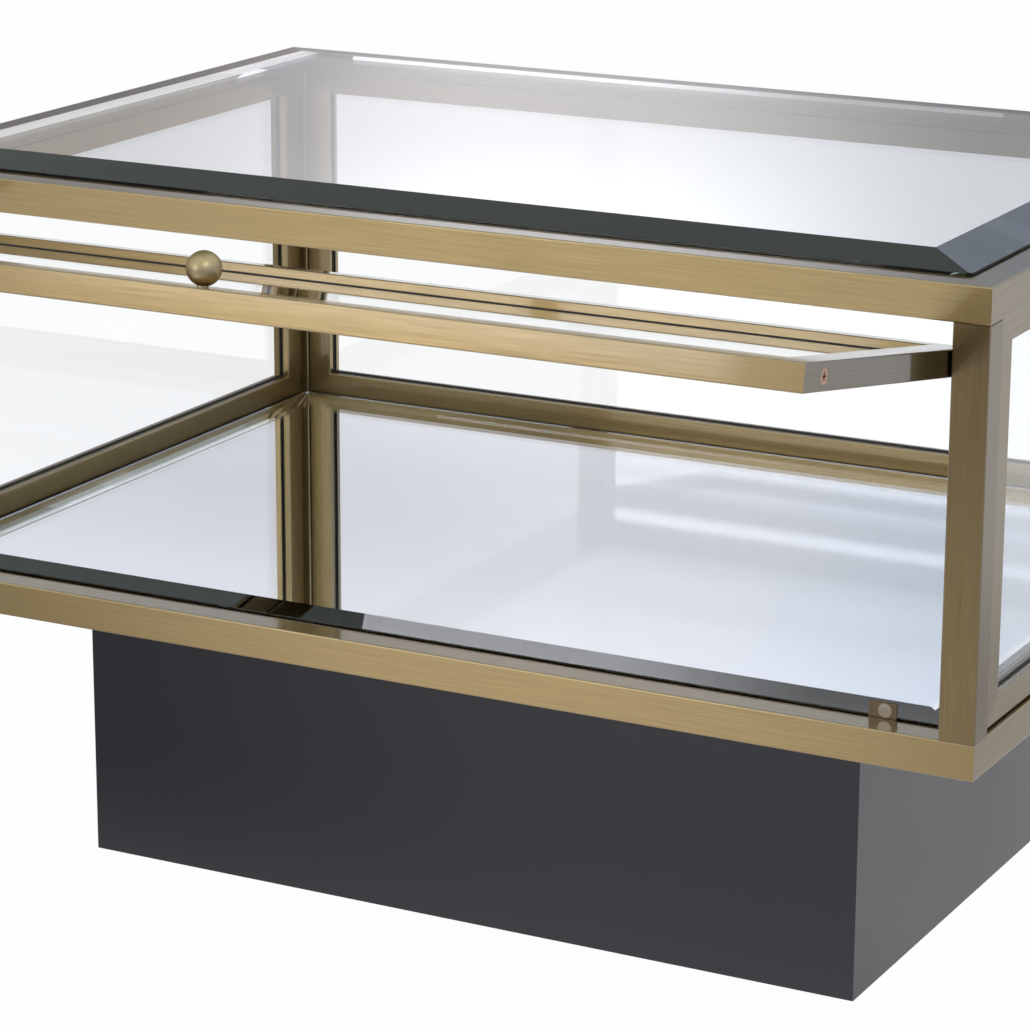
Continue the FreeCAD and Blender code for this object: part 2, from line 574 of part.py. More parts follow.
class GlazedFrame:
    """A glazed frame, drawn upright in its own plane around its middle. role is that plane, YZ_Plane for a frame
    that faces the side or XZ_Plane for one that faces the front. half, low and high are its outer edges, widths
    are those of its bottom bar, top bar and stiles, and hang puts a piece of it in place."""

    def __init__(self, name, role, half, low, high, widths, hang):
        self.name = name
        self.role = role
        self.half = half
        self.low = low
        self.high = high
        self.bottom_bar, self.top_bar, self.stile = widths
        self.hang = hang

    def inner_edges(self, bite):
        """The frame's inner edges moved by bite into the bars: half width, bottom and top."""
        return (
            f"({self.half} - {self.stile} + {bite})",
            f"({self.low} + {self.bottom_bar} - {bite})",
            f"({self.high} - {self.top_bar} + {bite})",
        )

    def window(self, sketch, bite):
        side, low, high = self.inner_edges(bite)
        rectangle(sketch, f"-{side}", side, low, high)

    def key_outline(self, sketch, x_sign, end):
        """The L of a corner key, at the bottom (end -1) or at the top (end 1) of a stile."""
        edge = self.low if end < 0 else self.high
        near = "Size.key_inset"
        far = "(Size.key_inset + Size.key_width)"
        tip = "Size.key_leg"
        corners = ((near, near), (near, tip), (far, tip), (far, far), (tip, far), (tip, near))
        outline(sketch, [
            (f"{x_sign} * ({self.half} - {across})", f"{edge} - {end} * {along}") for across, along in corners
        ])

    def bar(self, label, corners, groove, chamber, keys):
        """A mitred bar with a glazing groove along its inner edge, a socket for a corner key in each end and a
        wider chamber that runs from one socket to the other."""
        body = new_body(label)
        face = new_sketch(body, self.role, f"{label}_face")
        outline(face, corners)
        extrude(body, "Pad", face, "Size.bar_thick", centred=True)
        through, along = ("x", "y") if self.role == "YZ_Plane" else ("y", "x")

        def long_edge(start, end):
            level = getattr(start, through)
            on_face = same(level, getattr(end, through)) and same(abs(level), sheet.bar_thick / 2)
            return on_face and (same(getattr(start, along), getattr(end, along)) or same(start.z, end.z))

        round_edges(body, "Size.bar_round", long_edge)
        for hollow, edges, width in (
            ("groove", groove, "Size.groove_width"),
            ("chamber", chamber, "Size.chamber_thick"),
        ):
            channel = new_sketch(body, self.role, f"{label}_{hollow}")
            rectangle(channel, *edges)
            extrude(body, "Pocket", channel, width, centred=True)
        for number, (x_sign, end) in enumerate(keys, start=1):
            socket = new_sketch(body, self.role, f"{label}_socket_{number}")
            self.key_outline(socket, x_sign, end)
            extrude(body, "Pocket", socket, "Size.key_thick", centred=True)
        self.hang(body)
        add_node(body, label)
        return body

    def bars(self, bottom_label, top_label, stile_labels):
        """The bottom bar, the top bar and the two stiles."""
        side, sill, head = self.inner_edges("0")
        groove_side, groove_low, groove_high = self.inner_edges("Size.groove_depth")
        near = "Size.key_inset"
        far = "(Size.key_inset + Size.key_width)"
        bodies = []
        for label, outer, inner, groove_floor, end in (
            (bottom_label, self.low, sill, groove_low, -1),
            (top_label, self.high, head, groove_high, 1),
        ):
            corners = [(f"-{self.half}", outer), (self.half, outer), (side, inner), (f"-{side}", inner)]
            groove = (f"-{self.half}", self.half, groove_floor, inner)
            reach = f"({self.half} - Size.key_leg)"
            chamber = (f"-{reach}", reach, f"{outer} - {end} * {near}", f"{outer} - {end} * {far}")
            bodies.append(self.bar(label, corners, groove, chamber, ((-1, end), (1, end))))
        for label, x_sign in zip(stile_labels, (-1, 1)):
            outer = f"{x_sign} * {self.half}"
            inner = f"{x_sign} * {side}"
            corners = [(outer, self.low), (inner, sill), (inner, head), (outer, self.high)]
            groove = (inner, f"{x_sign} * {groove_side}", self.low, self.high)
            chamber_sides = [f"{x_sign} * ({self.half} - {inset})" for inset in (near, far)]
            chamber = (*chamber_sides, f"{self.low} + Size.key_leg", f"{self.high} - Size.key_leg")
            bodies.append(self.bar(label, corners, groove, chamber, ((x_sign, -1), (x_sign, 1))))
        return bodies

    def glass(self, label):
        body = new_body(label)
        face = new_sketch(body, self.role, f"{label}_face")
        self.window(face, "(Size.groove_depth - Size.gasket_floor)")
        extrude(body, "Pad", face, "Size.glazing_thick", centred=True)
        self.hang(body)
        add_node(body, label)

    def gasket(self):
        """A channel that fills the groove, holds the glass and stands a little above the bars."""
        body = new_body(f"{self.name}_gasket")
        ring = new_sketch(body, self.role, f"{self.name}_gasket_ring")
        self.window(ring, "Size.groove_depth")
        self.window(ring, "(-1 * Size.gasket_lip)")
        extrude(body, "Pad", ring, "Size.groove_width", centred=True)
        seat = new_sketch(body, self.role, f"{self.name}_gasket_seat")
        self.window(seat, "(Size.groove_depth - Size.gasket_floor)")
        extrude(body, "Pocket", seat, "Size.glazing_thick", centred=True)
        self.hang(body)
        return body

    def keys(self):
        """The four corner keys, in the sockets of the bars."""
        pieces = []
        for place, x_sign, end in CORNERS:
            body = new_body(f"{self.name}_key_{len(pieces) + 1}")
            face = new_sketch(body, self.role, f"{body.Name}_face")
            self.key_outline(face, x_sign, end)
            extrude(body, "Pad", face, "Size.key_thick", centred=True)
            self.hang(body)
            pieces.append(body)
        return pieces


def hang_at(x, y):
    return lambda item: put(item, x, y, f"{OPENING_BOTTOM} + Size.pane_bottom_gap")


def hang_on_door(item):
    """Puts a piece drawn from the pivot axis, with the door closed, where the open door holds it."""
    put(item, "0", PIVOT_Y, PIVOT_Z, Rotation(Vector(-1, 0, 0), 90))
    item.setExpression("Placement.Rotation.Angle", "Size.door_open_angle")


PANE_HEIGHT = "(Size.post_height - Size.pane_top_gap - Size.pane_bottom_gap)"
PANE_SET_BACK = "(Size.pane_recess + Size.bar_thick / 2)"
SIDE_PANE_HALF = f"({HALF_DEPTH} - Size.rail_depth - Size.jamb_width)"
BACK_PANE_HALF = f"({OPENING_HALF} - Size.pane_side_gap)"
PANE_WIDTHS = ("Size.pane_bar", "Size.pane_bar", "Size.pane_stile")
pane_gaskets = []
pane_keys = []
for side, role, half, x, y, stiles in (
    ("left", "YZ_Plane", SIDE_PANE_HALF, f"-({HALF_WIDTH} - {PANE_SET_BACK})", "0", ("front", "back")),
    ("right", "YZ_Plane", SIDE_PANE_HALF, f"{HALF_WIDTH} - {PANE_SET_BACK}", "0", ("front", "back")),
    ("back", "XZ_Plane", BACK_PANE_HALF, "0", f"{HALF_DEPTH} - {PANE_SET_BACK}", ("left", "right")),
):
    frame = GlazedFrame(f"{side}_frame", role, half, "0", PANE_HEIGHT, PANE_WIDTHS, hang_at(x, y))
    frame.bars(f"{side}_frame_bottom_bar", f"{side}_frame_top_bar", [f"{side}_frame_{hand}_stile" for hand in stiles])
    frame.glass(f"{side}_glass")
    pane_gaskets.append(frame.gasket())
    pane_keys += frame.keys()
add_group("pane_gaskets", pane_gaskets)
add_group("frame_corner_keys", pane_keys)

jamb_strips = []
for corner, x_sign, y_sign in CORNERS:
    centre_x = f"{x_sign} * ({HALF_WIDTH} - Size.jamb_recess - Size.jamb_thick / 2)"
    centre_y = f"{y_sign} * ({HALF_DEPTH} - Size.rail_depth - Size.jamb_width / 2)"
    jamb_strips.append(block(
        f"jamb_{corner}",
        ("Size.jamb_thick", "Size.jamb_width", "Size.post_height"),
        (f"{centre_x} - Size.jamb_thick / 2", f"{centre_y} - Size.jamb_width / 2", OPENING_BOTTOM),
    ))
add_group("pane_jamb_strips", jamb_strips)


# --- flap door: drawn closed, with the pivot axis as its origin ---------------------------------------------------------

door = GlazedFrame(
    "door", "XZ_Plane", DOOR_HALF, DOOR_BOTTOM, DOOR_TOP,
    ("Size.door_bottom_bar", "Size.door_top_bar", "Size.door_stile"), hang_on_door,
)
door_bottom, door_top, *door_stiles = door.bars(
    "door_bottom_bar", "door_top_bar", ("door_left_stile", "door_right_stile"),
)
door.glass("door_glass")
door_gasket = door.gasket()
add_node(door_gasket, "door_gasket")
add_group("door_corner_keys", door.keys())

# Each stile takes a pivot bush and a countersunk screw in its outer edge.
CORNER_SCREW_Z = f"{DOOR_BOTTOM} + Size.corner_screw_inset"
BORE_RADIUS = "Size.pin_radius + Size.pin_clearance"
corner_screws = []
bushes = []
for stile, (hand, x_sign) in zip(door_stiles, BOTH_ENDS):
    inward = Vector(-x_sign, 0, 0)
    edge = f"{x_sign} * {DOOR_HALF}"
    bush_hole = new_sketch(stile, "YZ_Plane", f"{stile.Name}_bush_hole", lift=edge)
    circle(bush_hole, "0", "0", "Size.bush_radius")
    extrude(stile, "Pocket", bush_hole, "Size.bush_length", reverse=x_sign < 0)
    screw_hole = new_sketch(stile, "YZ_Plane", f"{stile.Name}_screw_hole", y=CORNER_SCREW_Z, lift=edge)
    circle(screw_hole, "0", "0", "Size.corner_screw_shank")
    countersunk_holes(stile, screw_hole, "Size.corner_screw_shank", "Size.corner_screw_head", reverse=x_sign < 0)
    screw = countersunk_screw(
        f"corner_screw_{hand}", "XZ_Plane", "H_Axis", "Size.corner_screw_head", "Size.corner_screw_shank",
        "-Size.corner_screw_length" if x_sign > 0 else "Size.corner_screw_length", x=edge, y=CORNER_SCREW_Z,
    )
    cross_recess(screw, "YZ_Plane", y=CORNER_SCREW_Z, lift=edge, reverse=x_sign < 0)
    corner_screws.append(screw)
    low = (edge, "0", "0")
    shell = rod(f"bush_{hand}_outside", "Size.bush_radius", "Size.bush_length", low, inward)
    bore = rod(f"bush_{hand}_bore", BORE_RADIUS, "Size.bush_length", low, inward)
    bushes.append(boolean("Cut", f"bush_{hand}", shell, bore))
hang_on_door(add_group("door_corner_screws", corner_screws))
hang_on_door(add_group("pivot_bushes", bushes))


# --- pivots: pin, block and washer, held by the front posts -------------------------------------------------------------

pins = []
pivot_blocks = []
washers = []
for hand, x_sign in BOTH_ENDS:
    inward = Vector(-x_sign, 0, 0)
    pin = rod(
        f"pin_{hand}", "Size.pin_radius", "Size.pin_anchor + Size.door_side_gap + Size.pin_reach",
        (f"{x_sign} * ({OPENING_HALF} + Size.pin_anchor)", PIVOT_Y, PIVOT_Z), inward,
    )
    pins.append(pin)
    filling = post_filling(
        f"pivot_filling_{hand}", x_sign, -1, "Size.pivot_block_height", f"{PIVOT_Z} - Size.pivot_block_height / 2",
    )
    pivot_blocks.append(boolean("Cut", f"pivot_block_{hand}", filling, pin))
    low = (f"{x_sign} * {OPENING_HALF}", PIVOT_Y, PIVOT_Z)
    disc = rod(f"washer_{hand}_outside", "Size.washer_radius", "Size.door_side_gap - Size.washer_play", low, inward)
    bore = rod(f"washer_{hand}_bore", BORE_RADIUS, "Size.door_side_gap", low, inward)
    washers.append(boolean("Cut", f"washer_{hand}", disc, bore))
add_group("pivot_pins", pins)
add_group("pivot_blocks", pivot_blocks)
add_group("pivot_washers", washers)


# --- knob: a ball on a neck, with a screw from behind the door's bottom bar -----------------------------------------------

KNOB_X = "-Size.knob_shift"
KNOB_Z = f"{DOOR_BOTTOM} + Size.knob_inset"
FORWARD = Vector(0, -1, 0)
knob_hole = new_sketch(door_bottom, "XZ_Plane", "knob_hole", x=KNOB_X, y=KNOB_Z, lift="-Size.bar_thick / 2")
circle(knob_hole, "0", "0", "Size.knob_screw_shank")
countersunk_holes(door_bottom, knob_hole, "Size.knob_screw_shank", "Size.knob_screw_head", reverse=True)

ball = doc.addObject("Part::Sphere", "knob_ball")
ball.setExpression("Radius", "Size.knob_radius")
put(ball, KNOB_X, "-Size.bar_thick / 2 - Size.knob_stand", KNOB_Z)
knob_seat = (KNOB_X, "-Size.bar_thick / 2", KNOB_Z)
neck = rod("knob_neck", "Size.knob_neck_radius", "Size.knob_stand", knob_seat, FORWARD)
thread = rod("knob_thread", "Size.knob_screw_shank", "Size.knob_screw_bite", knob_seat, FORWARD)
knob = boolean("Cut", "knob_drilled", boolean("Fuse", "knob_turned", ball, neck), thread)
hang_on_door(knob)
add_node(knob, "knob")

knob_screw = countersunk_screw(
    "knob_screw", "YZ_Plane", "H_Axis", "Size.knob_screw_head", "Size.knob_screw_shank",
    "-(Size.bar_thick + Size.knob_screw_bite)", x="Size.bar_thick / 2", y=KNOB_Z, lift=KNOB_X,
)
cross_recess(knob_screw, "XZ_Plane", x=KNOB_X, y=KNOB_Z, lift="-Size.bar_thick / 2", reverse=True)
hang_on_door(knob_screw)
add_node(knob_screw, "knob_screw")


# --- magnetic catches on the bottom front rail ------------------------------------------------------------------------------

DOOR_REAR = f"(-{HALF_DEPTH} + Size.door_recess + Size.bar_thick)"
MAGNET_FRONT = f"({DOOR_REAR} + Size.magnet_gap)"
brackets = []
magnets = []
for hand, x_sign in BOTH_ENDS:
    catch_x = f"({x_sign} * ({OPENING_HALF} - Size.catch_offset))"
    bracket = new_body(f"bracket_{hand}")
    side_view = new_sketch(bracket, "YZ_Plane", f"bracket_{hand}_side")
    outline(side_view, [
        ("-Size.catch_foot_reach", "0"),
        ("Size.catch_thick", "0"),
        ("Size.catch_thick", "Size.catch_height"),
        ("0", "Size.catch_height"),
        ("0", "Size.catch_foot_thick"),
        ("-Size.catch_foot_reach", "Size.catch_foot_thick"),
    ])
    extrude(bracket, "Pad", side_view, "Size.catch_width", centred=True)
    seat = new_sketch(bracket, "XZ_Plane", f"bracket_{hand}_seat", x="Size.magnet_shift", y="Size.magnet_lift")
    circle(seat, "0", "0", "Size.magnet_radius")
    extrude(bracket, "Pocket", seat, "Size.catch_thick")
    put(bracket, catch_x, f"{MAGNET_FRONT} + Size.magnet_proud", OPENING_BOTTOM)
    brackets.append(bracket)
    magnets.append(rod(
        f"magnet_{hand}", "Size.magnet_radius", "Size.magnet_proud + Size.catch_thick",
        (f"{catch_x} + Size.magnet_shift", MAGNET_FRONT, f"{OPENING_BOTTOM} + Size.magnet_lift"), Vector(0, 1, 0),
    ))
add_group("catch_brackets", brackets)
add_group("catch_magnets", magnets)


# --- check every object, then write each piece ---------------------------------------------------------------------------------

doc.recompute()
for item in doc.Objects:
    if {"Invalid", "Error"} & set(item.State):
        raise RuntimeError(f"{item.Name} failed: {item.State}")
for item in nodes:
    if item.Shape.isNull() or not item.Shape.isValid() or not item.Shape.Solids:
        raise RuntimeError(f"{item.Label} has no valid solid")

os.makedirs("parts", exist_ok=True)
for item in nodes:
    item.Shape.exportStep(f"parts/{item.Label}.step")
print(f"{len(nodes)} pieces written")
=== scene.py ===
import math

import bpy
from mathutils import Matrix, Vector


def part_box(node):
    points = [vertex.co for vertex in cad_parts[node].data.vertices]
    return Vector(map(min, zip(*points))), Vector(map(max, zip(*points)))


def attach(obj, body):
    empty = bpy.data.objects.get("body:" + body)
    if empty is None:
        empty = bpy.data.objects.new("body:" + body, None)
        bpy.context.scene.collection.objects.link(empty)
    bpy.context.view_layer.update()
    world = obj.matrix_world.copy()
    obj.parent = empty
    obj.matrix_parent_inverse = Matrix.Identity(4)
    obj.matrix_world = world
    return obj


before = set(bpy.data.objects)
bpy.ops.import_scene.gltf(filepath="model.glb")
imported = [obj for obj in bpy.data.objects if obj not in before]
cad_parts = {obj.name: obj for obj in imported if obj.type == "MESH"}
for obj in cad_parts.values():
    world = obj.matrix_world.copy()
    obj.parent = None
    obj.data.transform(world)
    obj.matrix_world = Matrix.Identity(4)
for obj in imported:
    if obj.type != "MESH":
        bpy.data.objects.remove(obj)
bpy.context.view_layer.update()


# ---- Plinth ---------------------------------------------------------------------------
# A box of four 18 mm boards under the case, glued and screwed round a board that closes its
# top, with a block in each inner corner. The outside is sprayed with charcoal satin lacquer.

def put_node(tree, kind, values=None, **settings):
    """A new node in tree. values sets its inputs, by a value or from another node's output."""
    made = tree.nodes.new(kind)
    for name, value in settings.items():
        setattr(made, name, value)
    for socket, value in (values or {}).items():
        if isinstance(value, bpy.types.NodeSocket):
            tree.links.new(value, made.inputs[socket])
        else:
            made.inputs[socket].default_value = value
    return made


def start_finish(name, **sockets):
    """A material whose Principled shader has these plain values; gives it, its tree and shader."""
    finish = bpy.data.materials.new(name)
    finish.use_nodes = True
    shader = finish.node_tree.nodes["Principled BSDF"]
    for socket, value in sockets.items():
        shader.inputs[socket.replace("_", " ")].default_value = value
    return finish, finish.node_tree, shader


def start_group(name, inputs, outputs):
    """A shader node group with these named sockets; gives its tree, its input and its output."""
    tree = bpy.data.node_groups.new(name, "ShaderNodeTree")
    for socket, kind, value in inputs:
        made = tree.interface.new_socket(socket, in_out="INPUT", socket_type=kind)
        if value is not None:
            made.default_value = value
    for socket, kind in outputs:
        tree.interface.new_socket(socket, in_out="OUTPUT", socket_type=kind)
    return tree, tree.nodes.new("NodeGroupInput"), tree.nodes.new("NodeGroupOutput")


def put_group(tree, group, values):
    """A copy of the node group in a material's tree, with its own values."""
    return put_node(tree, "ShaderNodeGroup", values, node_tree=group)


def blend_colours(tree, share, first, second):
    """The output of a colour mix of two colours."""
    return put_node(tree, "ShaderNodeMix", {0: share, 6: first, 7: second},
                    data_type="RGBA").outputs[2]


def between(tree, value, low, high, clamp=True):
    """The output of value, from 0 to 1, spread over low to high."""
    return put_node(tree, "ShaderNodeMapRange", {"Value": value, "To Min": low, "To Max": high},
                    clamp=clamp).outputs["Result"]


def own_place(tree):
    """The output of a piece's own place, in metres."""
    return put_node(tree, "ShaderNodeTexCoord").outputs["Object"]


def raise_grain(tree, shader, height, strength, distance):
    """Lets height stand out of the surface by up to distance, in metres."""
    grain = put_node(tree, "ShaderNodeBump",
                     {"Height": height, "Strength": strength, "Distance": distance})
    tree.links.new(grain.outputs["Normal"], shader.inputs["Normal"])


def finish_nodes(finish, *names):
    """Gives every material slot of these CAD nodes the finish."""
    for name in names:
        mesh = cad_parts[name].data
        for i in range(len(mesh.materials)):
            mesh.materials[i] = finish


FLOAT, VECTOR, COLOUR = "NodeSocketFloat", "NodeSocketVector", "NodeSocketColor"

# Sprayed lacquer: a fine orange peel and slow clouds of tone.
sprayed_coat, coat_in, coat_out = start_group(
    "sprayed_coat",
    [("Place", VECTOR, None), ("Peel per metre", FLOAT, 900.0), ("Clouds per metre", FLOAT, 6.0)],
    [("Peel", FLOAT), ("Clouds", FLOAT)])
for socket, detail in (("Peel", 2.0), ("Clouds", 3.0)):
    noise = put_node(sprayed_coat, "ShaderNodeTexNoise",
                     {"Vector": coat_in.outputs["Place"],
                      "Scale": coat_in.outputs[socket + " per metre"], "Detail": detail})
    sprayed_coat.links.new(noise.outputs["Fac"], coat_out.inputs[socket])

charcoal, tree, shader = start_finish("charcoal_lacquer", IOR=1.72,
                                      Specular_Tint=(0.94, 0.92, 1.0, 1))
coat = put_group(tree, sprayed_coat, {"Place": own_place(tree)})
tree.links.new(blend_colours(tree, coat.outputs["Clouds"], (0.003, 0.0028, 0.006, 1),
                             (0.005, 0.0045, 0.008, 1)), shader.inputs["Base Color"])
tree.links.new(between(tree, coat.outputs["Clouds"], 0.30, 0.38), shader.inputs["Roughness"])
raise_grain(tree, shader, coat.outputs["Peel"], 0.08, 0.0002)
finish_nodes(charcoal, "plinth_front", "plinth_back", "plinth_left", "plinth_right")

# Fibreboard with no lacquer: fine flecks on a warm brown.
bare, tree, shader = start_finish("bare_fibreboard", Roughness=0.85)
flecks = put_group(tree, sprayed_coat, {"Place": own_place(tree), "Peel per metre": 1400.0,
                                        "Clouds per metre": 25.0})
fleck_colour = blend_colours(tree, flecks.outputs["Peel"], (0.20, 0.13, 0.075, 1),
                             (0.36, 0.26, 0.16, 1))
tree.links.new(blend_colours(tree, between(tree, flecks.outputs["Clouds"], 0.0, 0.5),
                             fleck_colour, (0.25, 0.18, 0.11, 1)), shader.inputs["Base Color"])
raise_grain(tree, shader, flecks.outputs["Peel"], 0.3, 0.0003)
finish_nodes(bare, "plinth_top", "plinth_blocks", "base_board")


def speckled(name, dark, bright, smooth, rough, specks_per_metre, clouds_per_metre, **sockets):
    """A plain finish: slow clouds from dark to bright, and fine specks from smooth to rough."""
    finish, tree, shader = start_finish(name, **sockets)
    coat = put_group(tree, sprayed_coat, {"Place": own_place(tree),
                                          "Peel per metre": specks_per_metre,
                                          "Clouds per metre": clouds_per_metre})
    tree.links.new(blend_colours(tree, coat.outputs["Clouds"], dark, bright),
                   shader.inputs["Base Color"])
    tree.links.new(between(tree, coat.outputs["Peel"], smooth, rough), shader.inputs["Roughness"])
    return finish


# Zinc plated steel of the screws, keys and pivots: pale, with faint turning marks.
zinc = speckled("zinc_plate", (0.42, 0.43, 0.44, 1), (0.62, 0.62, 0.60, 1), 0.25, 0.45, 2500.0,
                150.0, Metallic=1.0)
finish_nodes(zinc, "plinth_screws", "frame_corner_keys", "door_corner_keys", "pivot_blocks",
             "pivot_pins")

# Felt of the four glides: near black, fuzzy.
felt, tree, shader = start_finish("black_felt", Roughness=1.0, Sheen_Weight=0.3)
fibres = put_group(tree, sprayed_coat, {"Place": own_place(tree), "Peel per metre": 3000.0})
tree.links.new(blend_colours(tree, fibres.outputs["Peel"], (0.012, 0.012, 0.013, 1),
                             (0.05, 0.05, 0.055, 1)), shader.inputs["Base Color"])
raise_grain(tree, shader, fibres.outputs["Peel"], 0.6, 0.0004)
finish_nodes(felt, "glides")


# ---- Case frame -----------------------------------------------------------------------
# Two mitred rings of rails joined by four corner posts, all in brass brushed along its
# length, toned to antique and lacquered. The posts' ends and the mitres are brazed.

# Brushing: long fine lines along X of the place it is given, and slow clouds of tone.
brushing, brush_in, brush_out = start_group(
    "brushing", [("Place", VECTOR, None), ("Lines per metre", FLOAT, 1500.0)],
    [("Lines", FLOAT), ("Clouds", FLOAT)])
stretched = put_node(brushing, "ShaderNodeVectorMath",
                     {0: brush_in.outputs["Place"], 1: (0.012, 1.0, 1.0)}, operation="MULTIPLY")
line_noise = put_node(brushing, "ShaderNodeTexNoise",
                      {"Vector": stretched.outputs["Vector"],
                       "Scale": brush_in.outputs["Lines per metre"], "Detail": 3.0,
                       "Roughness": 0.65})
brushing.links.new(line_noise.outputs["Fac"], brush_out.inputs["Lines"])
drawn_out = put_node(brushing, "ShaderNodeVectorMath",
                     {0: brush_in.outputs["Place"], 1: (6.0, 60.0, 60.0)}, operation="MULTIPLY")
cloud_noise = put_node(brushing, "ShaderNodeTexNoise",
                       {"Vector": drawn_out.outputs["Vector"], "Scale": 1.0, "Detail": 2.0})
brushing.links.new(cloud_noise.outputs["Fac"], brush_out.inputs["Clouds"])

# Worn and highlit edges: 1 where a face lies between two of the bar's own directions, as on a
# rounding.
# The lighter brass laid there is partly wear and partly a painted highlight.
edge_wear_and_highlight, edge_in, edge_out = start_group(
    "edge_wear_and_highlight", [("Facing", VECTOR, None), ("Wear and highlight", FLOAT, 1.0)], [("Mask", FLOAT)])
size_of = put_node(edge_wear_and_highlight, "ShaderNodeVectorMath", {0: edge_in.outputs["Facing"]},
                   operation="ABSOLUTE")
parts = put_node(edge_wear_and_highlight, "ShaderNodeSeparateXYZ", {"Vector": size_of.outputs["Vector"]})
largest = put_node(edge_wear_and_highlight, "ShaderNodeMath", {0: parts.outputs["X"], 1: parts.outputs["Y"]},
                   operation="MAXIMUM")
largest = put_node(edge_wear_and_highlight, "ShaderNodeMath", {0: largest.outputs[0], 1: parts.outputs["Z"]},
                   operation="MAXIMUM")
between_faces = put_node(edge_wear_and_highlight, "ShaderNodeMapRange",
                         {"Value": largest.outputs[0], "From Min": 0.995, "From Max": 0.85})
worn_and_highlit = put_node(edge_wear_and_highlight, "ShaderNodeMath", {0: between_faces.outputs["Result"],
                                                1: edge_in.outputs["Wear and highlight"]},
                operation="MULTIPLY")
edge_wear_and_highlight.links.new(worn_and_highlit.outputs[0], edge_out.inputs["Mask"])

DARK_BRASS = (0.40, 0.281, 0.120)
BRIGHT_BRASS = (0.53, 0.380, 0.166)
WORN_AND_HIGHLIT_BRASS = (0.62, 0.50, 0.32, 1)
GLANCING_TINT = (0.22, 0.28, 0.42, 1)


def brushed_brass(name, direction, tilt=0.0, painted_light_level=1.0, lacquer=1.0):
    """Antique brass brushed along X, Y or Z under a clear lacquer. The toned metal darkens at a
    glancing angle, where the lacquer's shine takes over. tilt is the bar's own turn about X.
    The level of painted light scales the colour down: painted shade for pieces that get less light."""
    turn = {"X": (0, 0, 0), "Y": (0, 0, math.radians(-90)), "Z": (0, math.radians(90), 0)}
    finish, tree, shader = start_finish(name, Metallic=1.0, Specular_Tint=GLANCING_TINT,
                                        Anisotropic=0.8, Coat_Weight=lacquer, Coat_Roughness=0.06,
                                        Coat_IOR=1.5)
    here = put_node(tree, "ShaderNodeTexCoord")
    untilted = [put_node(tree, "ShaderNodeVectorRotate",
                         {"Vector": here.outputs[kind], "Angle": math.radians(-tilt)},
                         rotation_type="X_AXIS").outputs["Vector"] for kind in ("Object", "Normal")]
    along = put_node(tree, "ShaderNodeMapping", {"Vector": untilted[0],
                                                 "Rotation": turn[direction]})
    grain = put_group(tree, brushing, {"Place": along.outputs["Vector"]})
    wear_and_highlight = put_group(tree, edge_wear_and_highlight, {"Facing": untilted[1], "Wear and highlight": 0.5})
    lines = put_node(tree, "ShaderNodeMapRange", {"Value": grain.outputs["Lines"],
                                                  "From Min": 0.3, "From Max": 0.7})
    dark = [c * painted_light_level for c in DARK_BRASS] + [1]
    bright = [c * painted_light_level for c in BRIGHT_BRASS] + [1]
    body = blend_colours(tree, lines.outputs["Result"], dark, bright)
    clouded = blend_colours(tree, between(tree, grain.outputs["Clouds"], 0.0, 0.45), body,
                            dark)
    # On the roundings the brass turns lighter: partly wear, partly a painted highlight.
    tree.links.new(blend_colours(tree, wear_and_highlight.outputs["Mask"], clouded, WORN_AND_HIGHLIT_BRASS),
                   shader.inputs["Base Color"])
    tree.links.new(between(tree, lines.outputs["Result"], 0.40, 0.28), shader.inputs["Roughness"])
    raise_grain(tree, shader, grain.outputs["Lines"], 0.10, 0.0002)
    across = put_node(tree, "ShaderNodeTangent", direction_type="RADIAL", axis=direction)
    tree.links.new(across.outputs["Tangent"], shader.inputs["Tangent"])
    return finish


# Copies of the brass: a level below 1 scales a copy's colour down, which is painted shade on the
# pieces where less light falls.
brass_wide = brushed_brass("brass_brushed_wide", "X")
brass_deep = brushed_brass("brass_brushed_deep", "Y")
brass_tall = brushed_brass("brass_brushed_tall", "Z", painted_light_level=0.88)
brass_front_posts = brushed_brass("brass_front_posts", "Z", painted_light_level=0.68)
brass_inside_wide = brushed_brass("brass_inside_wide", "X", painted_light_level=0.72, lacquer=0.6)
brass_inside_deep = brushed_brass("brass_inside_deep", "Y", painted_light_level=0.9, lacquer=0.5)
brass_top_left = brushed_brass("brass_top_left", "Y", painted_light_level=0.8, lacquer=0.6)
brass_top_back = brushed_brass("brass_top_back", "X", painted_light_level=0.6)
brass_top_front = brushed_brass("brass_top_front", "X", painted_light_level=0.88)
finish_nodes(brass_wide, "bottom_rail_front", "bottom_rail_back", "post_end_plugs")
finish_nodes(brass_deep, "top_rail_right", "bottom_rail_left", "bottom_rail_right")
finish_nodes(brass_top_left, "top_rail_left")
finish_nodes(brass_top_back, "top_rail_back")
finish_nodes(brass_top_front, "top_rail_front")
finish_nodes(brass_front_posts, "post_front_left", "post_front_right")
finish_nodes(brass_tall, "post_back_left", "post_back_right", "pane_jamb_strips")


# ---- Mirror floor ---------------------------------------------------------------------
# A 6 mm sheet of clear float glass with a wide polished bevel, silvered on its underside,
# lying on the base board between the bottom rails.

# Float glass: a wiped surface, with very faint arcs of haze that only tint it.
wiped_glass, wipe_in, wipe_out = start_group(
    "wiped_glass", [("Place", VECTOR, None), ("Clear", COLOUR, None), ("Hazed", COLOUR, None)],
    [("Tint", COLOUR)])
wipes = put_node(wiped_glass, "ShaderNodeTexNoise", {"Vector": wipe_in.outputs["Place"],
                                                     "Scale": 7.0, "Detail": 2.0,
                                                     "Distortion": 1.5})
tint = put_node(wiped_glass, "ShaderNodeMix", {0: wipes.outputs["Fac"],
                                               6: wipe_in.outputs["Clear"],
                                               7: wipe_in.outputs["Hazed"]}, data_type="RGBA")
wiped_glass.links.new(tint.outputs[2], wipe_out.inputs["Tint"])

GLASS_DEPTH = (0.72, 0.86, 0.83, 1)   # colour that the glass takes on with depth


